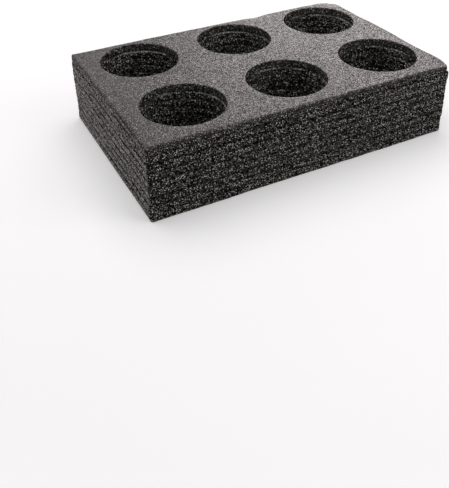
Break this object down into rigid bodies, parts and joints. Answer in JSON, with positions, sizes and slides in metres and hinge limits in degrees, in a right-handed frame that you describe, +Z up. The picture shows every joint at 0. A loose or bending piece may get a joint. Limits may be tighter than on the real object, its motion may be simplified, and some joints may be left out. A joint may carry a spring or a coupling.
{
  "type": "foam drink carrier",
  "caption": "Black laminated foam block with round blind holes cut into its top face, which hold drink cups upright while they are carried.",
  "frame": {"origin": "centre of the bottom face", "axes": "+X along the length of the block, with its left end at -X, its long front face at -Y, +Z up out of the holes"},
  "size_m": [0.3, 0.192, 0.0698],
  "materials": {
    "foam": "open cut cells on the sides and in the holes, fine dull skin on the top and bottom"
  },
  "bodies": {
    "root": {"foam_block": "foam"}
  },
  "joints": []
}
